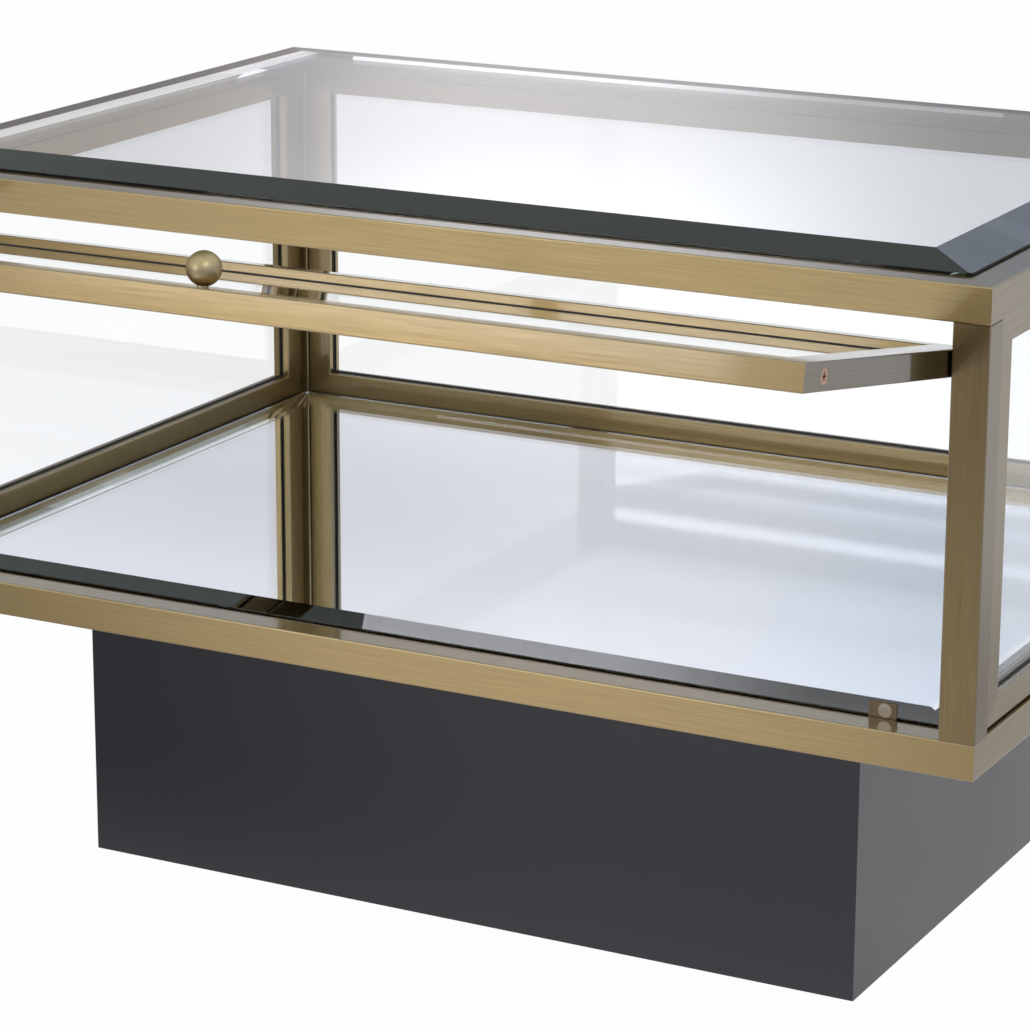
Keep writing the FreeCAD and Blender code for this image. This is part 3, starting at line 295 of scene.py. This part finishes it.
def float_glass(name, clear, hazed, lamp_tint):
    """Polished glass, tinted from clear to hazed. lamp_tint is the lamps' light behind it."""
    finish, tree, shader = start_finish(name, Roughness=0.0, IOR=1.5, Transmission_Weight=1.0)
    wiped = put_group(tree, wiped_glass, {"Place": own_place(tree), "Clear": clear,
                                          "Hazed": hazed})
    tree.links.new(wiped.outputs["Tint"], shader.inputs["Base Color"])
    out = tree.nodes["Material Output"]
    lamp = put_node(tree, "ShaderNodeBsdfTransparent", {"Color": lamp_tint})
    light_path = put_node(tree, "ShaderNodeLightPath")
    open_to_lamps = put_node(tree, "ShaderNodeMixShader",
                             {0: light_path.outputs["Is Shadow Ray"], 1: shader.outputs["BSDF"],
                              2: lamp.outputs["BSDF"]})
    tree.links.new(open_to_lamps.outputs["Shader"], out.inputs["Surface"])
    green = put_node(tree, "ShaderNodeVolumeAbsorption", {"Color": GLASS_DEPTH, "Density": 6.0})
    tree.links.new(green.outputs["Volume"], out.inputs["Volume"])
    return finish


mirror_glass = float_glass("mirror_glass", (0.97, 0.985, 0.975, 1), (0.96, 0.975, 0.965, 1),
                           (0.9, 0.95, 0.94, 1))
finish_nodes(mirror_glass, "mirror_panel")

silver, tree, shader = start_finish("silvering", Metallic=1.0, Roughness=0.01)
wiped = put_group(tree, wiped_glass, {"Place": own_place(tree), "Clear": (0.89, 0.89, 0.925, 1),
                                      "Hazed": (0.86, 0.865, 0.90, 1)})
tree.links.new(wiped.outputs["Tint"], shader.inputs["Base Color"])

SILVER_LIFT, SILVER_INSET = 0.00015, 0.0003   # above the glass's underside, and in from its edges
low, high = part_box("mirror_panel")
left, right = low.x + SILVER_INSET, high.x - SILVER_INSET
near, far = low.y + SILVER_INSET, high.y - SILVER_INSET
sheet = bpy.data.meshes.new("mirror_silvering")
corners = [(x, y, low.z + SILVER_LIFT)
           for x, y in ((left, near), (right, near), (right, far), (left, far))]
sheet.from_pydata(corners, [], [(0, 1, 2, 3)])
sheet.materials.append(silver)
silvering = bpy.data.objects.new("mirror_silvering", sheet)
bpy.context.scene.collection.objects.link(silvering)
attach(silvering, "case")


# ---- Glazed sides and back ------------------------------------------------------------
# Each pane sits in a frame of four grooved brass bars, mitred and keyed at the corners. A
# black gasket runs in the groove round the 4 mm glass, and strips close the frames' ends.

# The back and left bars inside the case, and the stiles, take darker copies of the brass: painted
# shade.
finish_nodes(brass_inside_wide, "back_frame_bottom_bar", "back_frame_top_bar")
finish_nodes(brass_inside_deep, "left_frame_bottom_bar", "left_frame_top_bar")
finish_nodes(brass_deep, "right_frame_bottom_bar", "right_frame_top_bar")
finish_nodes(brass_tall, "left_frame_front_stile", "left_frame_back_stile",
             "right_frame_front_stile", "right_frame_back_stile", "back_frame_left_stile",
             "back_frame_right_stile")

pane_glass = float_glass("pane_glass", (0.995, 0.997, 1.0, 1), (0.985, 0.99, 0.995, 1),
                         (0.92, 0.95, 0.95, 1))
finish_nodes(pane_glass, "left_glass", "right_glass", "back_glass", "door_glass")

rubber = speckled("black_rubber", (0.020, 0.019, 0.018, 1), (0.034, 0.032, 0.030, 1), 0.45, 0.65,
                  2000.0, 40.0)
finish_nodes(rubber, "pane_gaskets", "door_gasket")


# ---- Door -----------------------------------------------------------------------------
# A flap of the same mitred bars and 4 mm glass, turned up on two friction pivots in the
# posts. It stands 9.9 degrees above level, and a coppered screw holds each lower corner.

DOOR_TILT = 9.9
# The door's copies of the brass are darker, its stiles most: painted shade.
door_wide = brushed_brass("door_brass_wide", "X", tilt=-DOOR_TILT, painted_light_level=0.80)
door_deep = brushed_brass("door_brass_deep", "Y", tilt=-DOOR_TILT, painted_light_level=0.58)
finish_nodes(door_wide, "door_top_bar", "door_bottom_bar")
finish_nodes(door_deep, "door_left_stile", "door_right_stile")

copper = speckled("coppered_steel", (0.36, 0.19, 0.11, 1), (0.62, 0.38, 0.24, 1), 0.25, 0.5,
                  4000.0, 400.0, Metallic=1.0)
finish_nodes(copper, "door_corner_screws", "knob_screw")

acetal = speckled("black_acetal", (0.02, 0.02, 0.02, 1), (0.05, 0.048, 0.045, 1), 0.3, 0.5,
                  3000.0, 300.0)
finish_nodes(acetal, "pivot_bushes", "pivot_washers")


# ---- Knob and catches -----------------------------------------------------------------
# A turned ball knob stands on the door's lower bar, held by a screw from inside. Each catch
# is a folded brass angle on the bottom rail with a round nickel magnet set through it.

def satin_brass(name, dark, bright, smooth, rough):
    """Brass with no brushing, under a satin lacquer."""
    return speckled(name, dark, bright, smooth, rough, 3500.0, 120.0, Metallic=1.0,
                    Specular_Tint=(0.30, 0.25, 0.20, 1), Coat_Weight=0.12, Coat_Roughness=0.15)


knob_brass = satin_brass("knob_brass", (0.48, 0.37, 0.205, 1), (0.60, 0.47, 0.27, 1), 0.37, 0.47)
finish_nodes(knob_brass, "knob")
catch_brass = satin_brass("catch_brass", (0.19, 0.145, 0.10, 1), (0.29, 0.225, 0.155, 1), 0.35,
                          0.45)
finish_nodes(catch_brass, "catch_brackets")
nickel = speckled("nickel_plate", (0.34, 0.30, 0.25, 1), (0.50, 0.45, 0.38, 1), 0.12, 0.25,
                  4000.0, 300.0, Metallic=1.0)
finish_nodes(nickel, "catch_magnets")


# ---- Glass top ------------------------------------------------------------------------
# A sheet of 10 mm clear glass with a wide bevel and clipped corners, proud of the top rails
# and lying on soft clear pads. The bevel and the ground edges look dark green.

top_glass = float_glass("top_glass", (0.975, 0.976, 1.0, 1), (0.965, 0.968, 0.99, 1),
                        (0.92, 0.95, 0.95, 1))
finish_nodes(top_glass, "top_glass")

# The pads are clear, but they are given a dark grey colour: painted shade that matches the dark
# bevel over them.
pads = speckled("clear_pads", (0.10, 0.10, 0.085, 1), (0.16, 0.155, 0.13, 1), 0.5, 0.65, 3000.0,
                200.0, Transmission_Weight=0.3, IOR=1.4)
finish_nodes(pads, "top_glass_pads")


# ---- Floor, lamps and camera ----------------------------------------------------------
# A wide pale floor that runs into a white surround, soft boxes above and at the sides, and
# a long lens from the right of the front. None of it belongs to the table.

floor_white, tree, shader = start_finish("floor_white", Roughness=0.9, Specular_IOR_Level=0.0,
                                         Base_Color=(0.86, 0.86, 0.87, 1))
PURE_WHITE, COOL_WHITE = (1, 1, 1, 1), (0.74, 0.84, 1.0, 1)
GLOW_SEEN, GLOW_MIRRORED = 0.98, 0.85   # share of plain glow, straight on and as gloss mirrors it


def ramp(value, start, end, low, high):
    """The output of value spread smoothly from start to end over low to high."""
    return put_node(tree, "ShaderNodeMapRange", {"Value": value, "From Min": start,
                                                 "From Max": end, "To Min": low, "To Max": high},
                    interpolation_type="SMOOTHSTEP").outputs["Result"]


def soft_step(value, edge, softness, low=0.0, high=1.0):
    """The output of value stepping from low to high at edge."""
    return ramp(value, edge - softness, edge + softness, low, high)


def mix_levels(share, first, second):
    """The output of a mix of two levels of light."""
    return put_node(tree, "ShaderNodeMix", {0: share, 2: first, 3: second},
                    data_type="FLOAT").outputs[0]


def reckon(operation, *values):
    """The output of a sum on levels of light."""
    return put_node(tree, "ShaderNodeMath", dict(enumerate(values)), operation=operation).outputs[0]


light_path = put_node(tree, "ShaderNodeLightPath")
straight = reckon("MAXIMUM", light_path.outputs["Is Camera Ray"],
                  light_path.outputs["Is Transmission Ray"])
mirrored = reckon("MAXIMUM", reckon("SUBTRACT", light_path.outputs["Is Glossy Ray"], straight), 0.0)
place = put_node(tree, "ShaderNodeSeparateXYZ", {"Vector": own_place(tree)})

# As gloss mirrors it, the floor has a slantwise bright pool in front of the table, which fades
# at both sides, near the table and far out. Behind, it is dim only at the right near the table.
POOL_SLANT = 0.62
along_pool = reckon("SUBTRACT", place.outputs["X"],
                    reckon("MULTIPLY", place.outputs["Y"], POOL_SLANT))
pool = reckon("MULTIPLY", ramp(along_pool, -0.24, 0.24, 0.28, 1.0),
              ramp(along_pool, 0.47, 0.77, 1.0, 0.42))
pool = reckon("MULTIPLY", pool, ramp(place.outputs["Y"], -0.85, -0.55, 1.0, 0.6))
pool = reckon("MULTIPLY", pool, ramp(place.outputs["Y"], -1.7, -1.1, 0.68, 1.0))
beside = mix_levels(ramp(place.outputs["X"], 0.46, 0.66, 0.0, 1.0), 1.0,
                    ramp(place.outputs["Y"], 0.3, 0.9, 0.52, 1.0))
floor_level = mix_levels(ramp(place.outputs["Y"], -0.4, 0.0, 0.0, 1.0), pool, beside)
cool_share = reckon("MULTIPLY", ramp(place.outputs["X"], 0.2, 1.4, 0.0, 0.7), mirrored)
glow = put_node(tree, "ShaderNodeEmission", {
    "Color": blend_colours(tree, cool_share, PURE_WHITE, COOL_WHITE),
    "Strength": mix_levels(mirrored, 1.0, floor_level)})
share = reckon("MULTIPLY_ADD", mirrored, GLOW_MIRRORED, reckon("MULTIPLY", straight, GLOW_SEEN))
seen_floor = put_node(tree, "ShaderNodeMixShader", {0: share, 1: shader.outputs["BSDF"],
                                                    2: glow.outputs["Emission"]})
tree.links.new(seen_floor.outputs["Shader"], tree.nodes["Material Output"].inputs["Surface"])
FLOOR_REACH = 14.0
floor_mesh = bpy.data.meshes.new("floor")
floor_mesh.from_pydata([(x * FLOOR_REACH, y * FLOOR_REACH, 0)
                        for x, y in ((-1, -1), (1, -1), (1, 1), (-1, 1))], [], [(0, 1, 2, 3)])
floor_mesh.materials.append(floor_white)
floor = bpy.data.objects.new("floor", floor_mesh)
bpy.context.scene.collection.objects.link(floor)

# The surround is white to the camera and lights matt faces at half strength. As gloss and glass
# mirror it, it has a soft bright panel and a band of painted stripes behind the table, a cooler
# right and a dim ceiling, and it is dim in front. The stripes are a painted reflection.
world = bpy.data.worlds.new("studio")
bpy.context.scene.world = world
world.use_nodes = True
tree = world.node_tree
tree.nodes.clear()
toward = put_node(tree, "ShaderNodeSeparateXYZ", {
    "Vector": put_node(tree, "ShaderNodeTexCoord").outputs["Generated"]})

# The panel stands left of straight back. It is half as bright again above as near the floor.
PANEL_LEFT = 0.448
panel_level = ramp(toward.outputs["Z"], 0.17, 0.21, 1.0, 1.5)
panel = ramp(reckon("ABSOLUTE", reckon("ADD", toward.outputs["X"], PANEL_LEFT)), 0.01, 0.11,
             panel_level, 0.47)
low_back = mix_levels(ramp(toward.outputs["Z"], 0.06, 0.14, 0.0, 1.0), 1.0, panel)

# A wall across the back, with places given per metre that it is off: aside and height. A faint band
# of dark stripes with bright gaps runs on it from a left end to the right: a painted reflection
# that the mirror floor shows.
WALL_LIGHT_LEFT = 0.475
PAINTED_STRIPES_START, GAPS_START, EDGE_SOFTNESS = -0.503, -0.490, 0.001   # left ends of the painted stripes and of their gaps
PAINTED_STRIPES_BOTTOM, PAINTED_STRIPES_SHADE = 0.291, 0.10
GAPS = ((0.2975, 0.0030), (0.3055, 0.0010), (0.3158, 0.0022))   # middle and half of the height
GAP_SOFTNESS = 0.0006
forward = reckon("MAXIMUM", toward.outputs["Y"], 0.01)
aside = reckon("DIVIDE", toward.outputs["X"], forward)
height = reckon("DIVIDE", toward.outputs["Z"], forward)
off_light = reckon("ABSOLUTE", reckon("ADD", aside, WALL_LIGHT_LEFT))
wall = reckon("MULTIPLY", ramp(off_light, 0.02, 0.12, 1.0, 0.90),
              ramp(height, 0.33, 0.37, 0.94, 1.10))
# The band of dark stripes and bright gaps is a painted reflection.
painted_stripes_height = reckon("MULTIPLY", soft_step(height, PAINTED_STRIPES_BOTTOM, EDGE_SOFTNESS),
                       ramp(height, 0.325, 0.335, 1.0, 0.0))
painted_stripes_band = reckon("MULTIPLY", soft_step(aside, PAINTED_STRIPES_START, EDGE_SOFTNESS), painted_stripes_height)
gaps = 0.0
for middle, half in GAPS:
    off = reckon("ABSOLUTE", reckon("SUBTRACT", height, middle))
    gaps = reckon("MAXIMUM", soft_step(off, half, GAP_SOFTNESS, 1.0, 0.0), gaps)
gaps = reckon("MULTIPLY", gaps, soft_step(aside, GAPS_START, EDGE_SOFTNESS))
painted_stripes = reckon("MULTIPLY", painted_stripes_band, reckon("SUBTRACT", 1.0, gaps))
wall = reckon("MULTIPLY", wall,
              reckon("SUBTRACT", 1.0, reckon("MULTIPLY", painted_stripes, PAINTED_STRIPES_SHADE)))

# From low to high: the panel, the wall and the ceiling. The front is one soft run of levels.
high_back = mix_levels(ramp(toward.outputs["Z"], 0.20, 0.27, 0.0, 1.0), low_back, wall)
ceiling = ramp(toward.outputs["X"], -0.1, 0.2, 0.35, 0.9)
back = mix_levels(ramp(toward.outputs["Z"], 0.34, 0.43, 0.0, 1.0), high_back, ceiling)
front = reckon("MAXIMUM", ramp(toward.outputs["Z"], 0.04, 0.14, 1.0, 0.40),
               ramp(toward.outputs["Z"], 0.18, 0.26, 0.40, 0.85))
level = mix_levels(ramp(toward.outputs["Y"], -0.3, 0.3, 0.0, 1.0), front, back)
light_path = put_node(tree, "ShaderNodeLightPath")
seen = reckon("MAXIMUM", light_path.outputs["Is Glossy Ray"],
              light_path.outputs["Is Transmission Ray"])
dim = put_node(tree, "ShaderNodeBackground", {"Color": (0.93, 0.94, 1.0, 1), "Strength": 0.5})
sides = blend_colours(tree, ramp(toward.outputs["X"], -0.45, -0.25, 0.0, 1.0),
                      (0.96, 0.955, 1.0, 1), COOL_WHITE)
studio = put_node(tree, "ShaderNodeBackground", {
    "Color": blend_colours(tree, ramp(toward.outputs["Z"], 0.33, 0.42, 0.0, 1.0), sides,
                           (0.90, 1.0, 0.97, 1)), "Strength": level})
white = put_node(tree, "ShaderNodeBackground", {"Color": PURE_WHITE, "Strength": 1.0})
surround = put_node(tree, "ShaderNodeMixShader", {0: seen, 1: dim.outputs[0],
                                                  2: studio.outputs[0]})
surround = put_node(tree, "ShaderNodeMixShader", {0: light_path.outputs["Is Camera Ray"],
                                                  1: surround.outputs[0], 2: white.outputs[0]})
out = put_node(tree, "ShaderNodeOutputWorld")
tree.links.new(surround.outputs["Shader"], out.inputs["Surface"])


def soft_box(name, place, aim, width, height, watts, in_metal=True, in_glass=False):
    """A rectangular lamp at place that faces aim. in_metal is whether metal mirrors it, and
    in_glass whether it shows through glass."""
    lamp = bpy.data.lights.new(name, "AREA")
    lamp.shape = "RECTANGLE"
    lamp.size, lamp.size_y = width, height
    lamp.energy = watts
    made = bpy.data.objects.new(name, lamp)
    made.location = place
    made.rotation_euler = (Vector(aim) - Vector(place)).to_track_quat("-Z", "Y").to_euler()
    made.visible_camera = False
    made.visible_glossy = in_metal
    made.visible_transmission = in_glass
    bpy.context.scene.collection.objects.link(made)
    return made


soft_box("lamp_overhead", (-0.2, -0.3, 2.6), (0, 0, 0.3), 1.8, 1.8, 30, in_metal=False)
soft_box("lamp_back_right", (2.2, 2.4, 1.8), (1.0, 1.5, 0.0), 1.2, 1.2, 22, in_metal=False)

# The strip is brightest at its left end.
strip = soft_box("lamp_strip", (-0.31, 0.70, 0.765), (-0.31, -0.22, 0.21), 0.62, 0.08, 0.41,
                 in_glass=True).data
strip.color = (0.94, 0.94, 1.0)
strip.use_nodes = True
tree = strip.node_tree
along_strip = put_node(tree, "ShaderNodeSeparateXYZ", {
    "Vector": put_node(tree, "ShaderNodeNewGeometry").outputs["Position"]})
tree.links.new(ramp(along_strip.outputs["X"], -0.38, -0.14, 1.0, 0.24),
               tree.nodes["Emission"].inputs["Strength"])

soft_box("lamp_front_left", (-1.42, -3.2, 1.1), (0, 0, 0.35), 1.0, 0.8, 9)
soft_box("lamp_camera_right", (1.7, -1.9, 2.2), (0, 0, 0.35), 0.7, 0.7, 8)

CAMERA_PLACE = (1.0712, -2.1361, 0.9083)
YAW, PITCH, ROLL = 0.4833, 0.2776, 0.004
LENS_MM, SENSOR_MM = 131.12, 36.0
ahead = Vector((-math.sin(YAW) * math.cos(PITCH), math.cos(YAW) * math.cos(PITCH),
                -math.sin(PITCH)))
level_right = Vector((math.cos(YAW), math.sin(YAW), 0.0))
level_up = level_right.cross(ahead)
camera_right = level_right * math.cos(ROLL) + level_up * math.sin(ROLL)
camera_up = level_up * math.cos(ROLL) - level_right * math.sin(ROLL)
lens = bpy.data.cameras.new("camera")
lens.lens, lens.sensor_width, lens.sensor_fit = LENS_MM, SENSOR_MM, "HORIZONTAL"
camera = bpy.data.objects.new("camera", lens)
turn = Matrix((camera_right, camera_up, -ahead)).transposed().to_4x4()
camera.matrix_world = Matrix.Translation(CAMERA_PLACE) @ turn
bpy.context.scene.collection.objects.link(camera)
bpy.context.scene.camera = camera
bpy.context.scene.view_settings.view_transform = "Standard"
